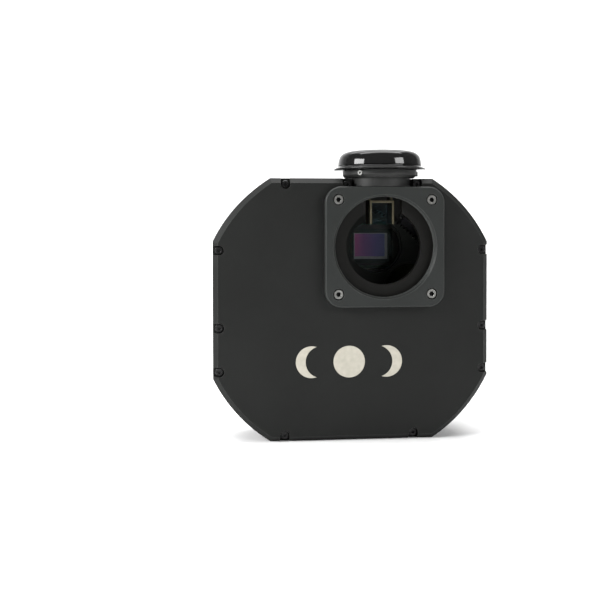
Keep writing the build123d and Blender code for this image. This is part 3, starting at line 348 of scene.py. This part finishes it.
finishes = {
    "black_anodised_cover": {"colours": ((0.0082, 0.0088, 0.0082), (0.0104, 0.0111, 0.0104)),
                             "patchScale": 25, "grain": 0.35, "roughness": (0.48, 0.62),
                             "wornAndLitEdge": (0.075, 0.076, 0.072), "edge": 0.35, "specular": 0.18,
                             "boreBlackAndShade": (0.0030, 0.0029, 0.0022)},
    "black_anodised_plate": {"colours": ((0.0150, 0.0168, 0.0158), (0.0190, 0.0210, 0.0200)),
                             "patchScale": 30, "grain": 0.5, "grainScale": 3000, "roughness": (0.42, 0.56),
                             "wornAndLitEdge": (0.10, 0.105, 0.10), "edge": 0.35, "specular": 0.25},
    "black_anodised_body": {"colours": ((0.016, 0.0165, 0.016), (0.020, 0.0206, 0.0200)), "patchScale": 25,
                            "grain": 0.35, "roughness": (0.40, 0.55), "wornAndLitEdge": (0.06, 0.061, 0.058),
                            "edge": 0.35, "specular": 0.3},
    "black_anodised_inner": {"colours": ((0.004, 0.005, 0.004), (0.007, 0.0085, 0.007)), "patchScale": 40,
                             "grain": 0.3, "roughness": (0.55, 0.7), "wornAndLitEdge": (0.014, 0.017, 0.014),
                             "edge": 0.2, "specular": 0.15},
    "black_screw_steel": {"colours": ((0.010, 0.010, 0.010), (0.018, 0.018, 0.018)), "patchScale": 400,
                          "grain": 0.2, "roughness": (0.25, 0.4), "metallic": 0.6, "wornAndLitEdge": (0.12, 0.12, 0.12),
                          "edge": 0.12},
    "screw_steel": {"colours": ((0.16, 0.16, 0.155), (0.24, 0.24, 0.23)), "patchScale": 500, "grain": 0.2,
                    "roughness": (0.22, 0.36), "metallic": 1, "wornAndLitEdge": (0.42, 0.42, 0.40), "edge": 0.14},
    # nose plate screws: painted shade in their sockets
    "plate_screw_steel": {"colours": ((0.20, 0.20, 0.19), (0.30, 0.30, 0.285)), "patchScale": 500,
                          "grain": 0.25, "roughness": (0.25, 0.40), "metallic": 0.85,
                          "wornAndLitEdge": (0.42, 0.42, 0.40), "edge": 0.14, "shade": (0.006, 0.006, 0.006),
                          "shadeDepths": (0.75, 1.1)},
    "seal_rubber": {"colours": ((0.008, 0.008, 0.008), (0.014, 0.014, 0.014)), "grain": 0.3,
                    "roughness": (0.6, 0.8), "edge": 0.1},
    "cap_vinyl": {"colours": ((0.006, 0.006, 0.006), (0.010, 0.010, 0.010)), "patchScale": 50, "grain": 0.04,
                  "grainScale": 1500, "roughness": (0.05, 0.09), "specular": 0.28, "edge": 0.1},
    "bracket_brass": {"colours": ((0.13, 0.115, 0.075), (0.20, 0.18, 0.125)), "patchScale": 300, "grain": 0.3,
                      "grainStretch": (1, 1, 6), "roughness": (0.25, 0.4), "metallic": 1,
                      "wornAndLitEdge": (0.34, 0.32, 0.24), "edge": 0.12},
    "plug_brass": {"colours": ((0.40, 0.30, 0.12), (0.52, 0.40, 0.18)), "patchScale": 200, "grain": 0.3,
                   "roughness": (0.28, 0.45), "metallic": 1, "wornAndLitEdge": (0.75, 0.62, 0.35), "edge": 0.15},
    "bronze": {"colours": ((0.33, 0.19, 0.08), (0.45, 0.28, 0.13)), "patchScale": 250, "grain": 0.3,
               "roughness": (0.3, 0.5), "metallic": 1, "edge": 0.12},
    "copper": {"colours": ((0.55, 0.24, 0.13), (0.68, 0.33, 0.19)), "patchScale": 150, "grain": 0.25,
               "roughness": (0.25, 0.4), "metallic": 1, "edge": 0.15},
    "motor_steel": {"colours": ((0.30, 0.30, 0.31), (0.42, 0.42, 0.43)), "patchScale": 200, "grain": 0.3,
                    "grainStretch": (1, 8, 1), "roughness": (0.28, 0.42), "metallic": 1,
                    "wornAndLitEdge": (0.7, 0.7, 0.7), "edge": 0.15},
    "blade_steel": {"colours": ((0.05, 0.05, 0.055), (0.075, 0.075, 0.08)), "patchScale": 120, "grain": 0.25,
                    "grainStretch": (1, 1, 9), "roughness": (0.35, 0.5), "metallic": 0.9, "edge": 0.1},
    "bare_aluminium": {"colours": ((0.50, 0.50, 0.51), (0.63, 0.63, 0.64)), "patchScale": 120, "grain": 0.35,
                       "grainStretch": (1, 1, 10), "roughness": (0.3, 0.48), "metallic": 1,
                       "wornAndLitEdge": (0.85, 0.85, 0.86), "edge": 0.15},
    "sensor_ceramic": {"colours": ((0.030, 0.026, 0.022), (0.042, 0.036, 0.030)), "patchScale": 400,
                       "grain": 0.4, "roughness": (0.5, 0.65), "edge": 0.12},
    "module_ceramic": {"colours": ((0.66, 0.66, 0.64), (0.78, 0.78, 0.76)), "patchScale": 300, "grain": 0.4,
                       "roughness": (0.5, 0.7), "edge": 0.1},
    "socket_plastic": {"colours": ((0.012, 0.012, 0.012), (0.020, 0.020, 0.020)), "patchScale": 100,
                       "grain": 0.5, "grainScale": 2500, "roughness": (0.38, 0.52), "edge": 0.15},
    "socket_steel": {"colours": ((0.45, 0.45, 0.44), (0.6, 0.6, 0.58)), "patchScale": 200, "grain": 0.2,
                     "roughness": (0.22, 0.35), "metallic": 1, "edge": 0.15},
    "fan_plastic": {"colours": ((0.012, 0.012, 0.013), (0.022, 0.022, 0.023)), "patchScale": 90,
                    "grain": 0.4, "grainScale": 2200, "roughness": (0.35, 0.5), "wornAndLitEdge": (0.04, 0.04, 0.04),
                    "edge": 0.2},
    "light_lens": {"colours": ((0.35, 0.36, 0.34), (0.5, 0.51, 0.48)), "patchScale": 300, "grain": 0.1,
                   "roughness": (0.12, 0.2), "coat": 0.5, "edge": 0.1},
    "mark_cream": {"colours": ((0.42, 0.40, 0.335), (0.50, 0.475, 0.405)), "patchScale": 350, "grain": 0.5,
                   "grainScale": 5000, "roughness": (0.5, 0.65), "edge": 0.03},
}

glasses = {
    "optical_glass": {"colours": ((0.010, 0.030, 0.026), (0.016, 0.022, 0.040)), "alpha": 0.16,
                      "coating": (0.45, 0.9, 0.75)},
    "red_glass": {"colours": ((0.45, 0.012, 0.010), (0.6, 0.02, 0.015)), "alpha": 0.72,
                  "coating": (1, 0.7, 0.6)},
    "green_glass": {"colours": ((0.012, 0.30, 0.05), (0.02, 0.42, 0.08)), "alpha": 0.72,
                    "coating": (0.7, 1, 0.7)},
    "blue_glass": {"colours": ((0.012, 0.05, 0.45), (0.02, 0.08, 0.6)), "alpha": 0.72,
                   "coating": (0.6, 0.7, 1)},
    "narrow_band_glass": {"colours": ((0.006, 0.009, 0.007), (0.012, 0.010, 0.006)), "alpha": 0.95,
                          "coating": (1, 0.85, 0.5)},
}

sensorLook = {
    "imagingWidth": 18.0, "imagingHeight": 13.5, "border": (0.62, 0.62, 0.66),
    "pixelScale": 2500, "cell": 0.5, "cellGap": 0.04, "grain": 0.1, "grainDepth": 0.01,
    "metallic": 0.35, "roughness": 0.3,
    # the sheen stops are a painted sheen, magenta at the left to blue at the right
    "sheen": [(0.0, (0.86, 0.25, 0.62)), (0.3, (0.48, 0.20, 0.56)), (0.7, (0.30, 0.23, 0.62)),
              (1.0, (0.27, 0.27, 0.60))],
}

boardLook = {"trackScale": 420, "track": (0.05, 0.16, 0.06), "trackEdge": 0.03, "mask": (0.01, 0.055, 0.02),
             "maskEdge": 0.05, "grain": 0.3, "grainDepth": 0.04, "roughness": 0.35}

materials = {name: surfaceFinish(name, look) for name, look in finishes.items()}
materials.update({name: glassFinish(name, look) for name, look in glasses.items()})
materials["sensor_silicon"] = sensorFinish(sensorLook)
materials["circuit_board"] = boardFinish(boardLook)
print("materials made:", len(materials))


def paint(piece, materialName):
    piece.data.materials.clear()
    piece.data.materials.append(materials[materialName])


for subpart in frame["record"]["subparts"]:
    paint(frame["nodes"][subpart["node"]], subpart["material_slot"])
paint(frame["nodes"]["nose_plate_screws"], "plate_screw_steel")  # these have shaded sockets
print("nodes painted")


def finishPiece(piece, body, slotName, materialName=None, sharp=35):
    pickOnly(piece)
    bpy.ops.object.shade_smooth_by_angle(angle=math.radians(sharp))
    paint(piece, materialName or slotName)
    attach(piece, body)
    return piece


# dust cap: rings are radius and height, from inside the crown, round the plug and rim, to the top
capLook = {
    "segments": 128,
    "rings": [(18.6, 51.0), (21.2, 48.6), (21.2, 43.9), (14.4, 43.9), (14.4, 38.9), (14.7, 38.6),
              (15.4, 38.6), (15.7, 38.9), (15.7, 42.0), (25.0, 42.0), (25.35, 42.15), (25.5, 42.5),
              (25.4, 42.85), (24.9, 43.1), (24.1, 43.45), (23.5, 43.85), (23.3, 44.05), (22.6, 44.15),
              (22.6, 44.4), (23.25, 44.55), (23.15, 45.3), (23.02, 46.3), (22.86, 47.2), (22.66, 48.1),
              (22.40, 48.9), (22.02, 49.7), (21.45, 50.5), (20.55, 51.25), (19.3, 51.9), (17.6, 52.35),
              (15.0, 52.65), (11.0, 52.86), (6.0, 52.97), (2.0, 53.0)],
    "sharp": 50,
}


def makeDustCap():
    low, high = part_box("guide_port_cap")
    middle = ((low.x + high.x) / 2, (low.y + high.y) / 2)
    cap = turnedPiece("dustCap", middle, capLook["rings"], capLook["segments"])
    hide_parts("guide_port_cap")
    return finishPiece(cap, "dust_cap", "cap_vinyl", sharp=capLook["sharp"])


makeDustCap()
print("dust cap made")


def makeNoseThread():
    ridges = []
    for turn in range(threadLook["turns"]):
        depth = (threadLook["start"] + turn * threadLook["pitch"]) * mm
        clearSelection()
        bpy.ops.mesh.primitive_torus_add(major_segments=threadLook["segments"],
                                         minor_segments=threadLook["sideSegments"],
                                         major_radius=(threadLook["boreRadius"] + threadLook["sink"]) * mm,
                                         minor_radius=threadLook["depth"] * mm,
                                         location=(0, depth, 0), rotation=(math.radians(90), 0, 0))
        ridges.append(bpy.context.object)
    thread = joinPieces(ridges, "noseThread")
    return finishPiece(thread, "camera", "black_anodised_plate")


makeNoseThread()
print("nose thread made")


# printed mark: two crescents and a full moon, in paint this thick, sunk a little into the cover
markLook = {"radius": 8.6, "gap": 3.3, "thickness": 0.07, "sink": 0.2, "centreX": -19.0, "centreZ": -62.2,
            "shade": 0.62, "segments": 96}


def paintDisc(x, z, radius, frontY, extra=0.0):
    clearSelection()
    depth = (markLook["thickness"] + markLook["sink"]) * mm + 2 * extra
    middleY = frontY + (markLook["sink"] - markLook["thickness"]) * mm / 2
    bpy.ops.mesh.primitive_cylinder_add(vertices=markLook["segments"], radius=radius * mm, depth=depth,
                                        location=(x * mm, middleY, z * mm), rotation=(math.radians(90), 0, 0))
    return bpy.context.object


def cutOut(piece, cutter):
    cut = piece.modifiers.new("cut", "BOOLEAN")
    cut.operation = "DIFFERENCE"
    cut.solver = "EXACT"
    cut.object = cutter
    applyModifiers(piece)
    bpy.data.objects.remove(cutter)


def makeMark():
    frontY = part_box("front_cover")[0].y
    radius, step = markLook["radius"], 2 * markLook["radius"] + markLook["gap"]
    shapes = []
    for side in (-1, 0, 1):
        x = markLook["centreX"] + side * step
        moon = paintDisc(x, markLook["centreZ"], radius, frontY)
        if side:
            shadeX = x - side * radius * markLook["shade"]
            cutOut(moon, paintDisc(shadeX, markLook["centreZ"], radius, frontY, mm))
        shapes.append(moon)
    mark = joinPieces(shapes, "moonMark")
    return finishPiece(mark, "camera", "black_anodised_cover", "mark_cream")


makeMark()
print("mark made")


# floor and wall in one sheet, joined by a bend
stageLook = {"halfWidth": 3.0, "front": -2.0, "back": 1.6, "height": 2.6, "bend": 0.9, "segments": 24,
             "mottleScale": 3, "mottleDetail": 2, "colours": ((0.90, 0.90, 0.90), (0.92, 0.92, 0.92)),
             "roughness": 0.9, "specular": 0.1}


def makeStage():
    floorZ = cadBox[0][2]
    clearSelection()
    bpy.ops.mesh.primitive_plane_add(size=2, location=(0, 0, floorZ))
    backdrop = bpy.context.object
    backdrop.name = "backdrop"
    backdrop.scale = (stageLook["halfWidth"], (stageLook["back"] - stageLook["front"]) / 2, 1)
    backdrop.location.y = (stageLook["back"] + stageLook["front"]) / 2
    settle(backdrop)
    for edge in backdrop.data.edges:
        edge.select = all(backdrop.data.vertices[v].co.y > 0 for v in edge.vertices)
    for vertex in backdrop.data.vertices:
        vertex.select = vertex.co.y > 0
    for face in backdrop.data.polygons:
        face.select = False
    bpy.ops.object.mode_set(mode="EDIT")
    bpy.ops.mesh.extrude_region_move(TRANSFORM_OT_translate={"value": (0, 0, stageLook["height"])})
    bpy.ops.object.mode_set(mode="OBJECT")
    bend = backdrop.modifiers.new("bend", "BEVEL")
    bend.width = stageLook["bend"]
    bend.segments = stageLook["segments"]
    bend.limit_method = "ANGLE"
    applyModifiers(backdrop)
    bpy.ops.object.shade_smooth()
    material, nodes, links, shader = startMaterial("paleStage")
    coords = nodes.new("ShaderNodeTexCoord")
    mottle = addNoise(nodes, links, coords, stageLook["mottleScale"], stageLook["mottleDetail"])
    dark, light = stageLook["colours"]
    tone = addRamp(nodes, links, mottle.outputs["Fac"], [(noiseLow, dark), (noiseHigh, light)])
    links.new(tone.outputs["Color"], shader.inputs["Base Color"])
    shader.inputs["Roughness"].default_value = stageLook["roughness"]
    shader.inputs["Specular IOR Level"].default_value = stageLook["specular"]
    backdrop.data.materials.append(material)


lightLook = {
    "keyRight": {"place": (0.74, -0.69, 0.45), "aim": (-0.017, 0.03, -0.034), "size": (0.48, 0.22),
                 "power": 5.4},
    "fillLeft": {"place": (-0.38, -0.13, 0.16), "aim": (-0.017, 0.03, -0.02), "size": (0.21, 0.11),
                 "power": 1.9},
    "top": {"place": (0.0, 0.45, 1.5), "aim": (0.0, 0.1, 0.0), "size": (1.8, 1.6), "power": 27},
    "backWash": {"place": (0.0, 0.2, 1.9), "aim": (0.0, 1.6, 0.5), "size": (2.5, 0.8), "power": 40},
}
roomStrength = 0.2


def makeLights():
    for name, look in lightLook.items():
        light = bpy.data.lights.new(name, "AREA")
        light.shape = "RECTANGLE"
        light.size, light.size_y = look["size"]
        light.energy = look["power"]
        lamp = bpy.data.objects.new(name, light)
        lamp.location = look["place"]
        lamp.rotation_euler = (Vector(look["aim"]) - lamp.location).to_track_quat("-Z", "Y").to_euler()
        bpy.context.scene.collection.objects.link(lamp)
    world = bpy.data.worlds.new("softRoom")
    world.use_nodes = True
    world.node_tree.nodes["Background"].inputs["Color"].default_value = (1, 1, 1, 1)
    world.node_tree.nodes["Background"].inputs["Strength"].default_value = roomStrength
    bpy.context.scene.world = world


cameraLook = {"right": -0.0920, "forward": -0.450, "up": 0.0118, "tilt": -1.0, "pan": -5.81, "roll": 0.09,
              "lens": 51.04, "shiftUp": -0.1, "sensorWidth": 36, "near": 0.01, "far": 20}


def makeCamera():
    lens = bpy.data.cameras.new("camera")
    lens.lens = cameraLook["lens"]
    lens.sensor_width = cameraLook["sensorWidth"]
    lens.shift_y = cameraLook["shiftUp"]
    lens.clip_start = cameraLook["near"]
    lens.clip_end = cameraLook["far"]
    camera = bpy.data.objects.new("camera", lens)
    camera.location = (cameraLook["right"], cameraLook["forward"], cameraLook["up"])
    camera.rotation_euler = (math.radians(90 + cameraLook["tilt"]), math.radians(cameraLook["roll"]),
                             math.radians(cameraLook["pan"]))
    bpy.context.scene.collection.objects.link(camera)
    bpy.context.scene.camera = camera


makeStage()
makeLights()
makeCamera()
bpy.context.scene.view_settings.view_transform = "Standard"
print("stage, lights and camera made")
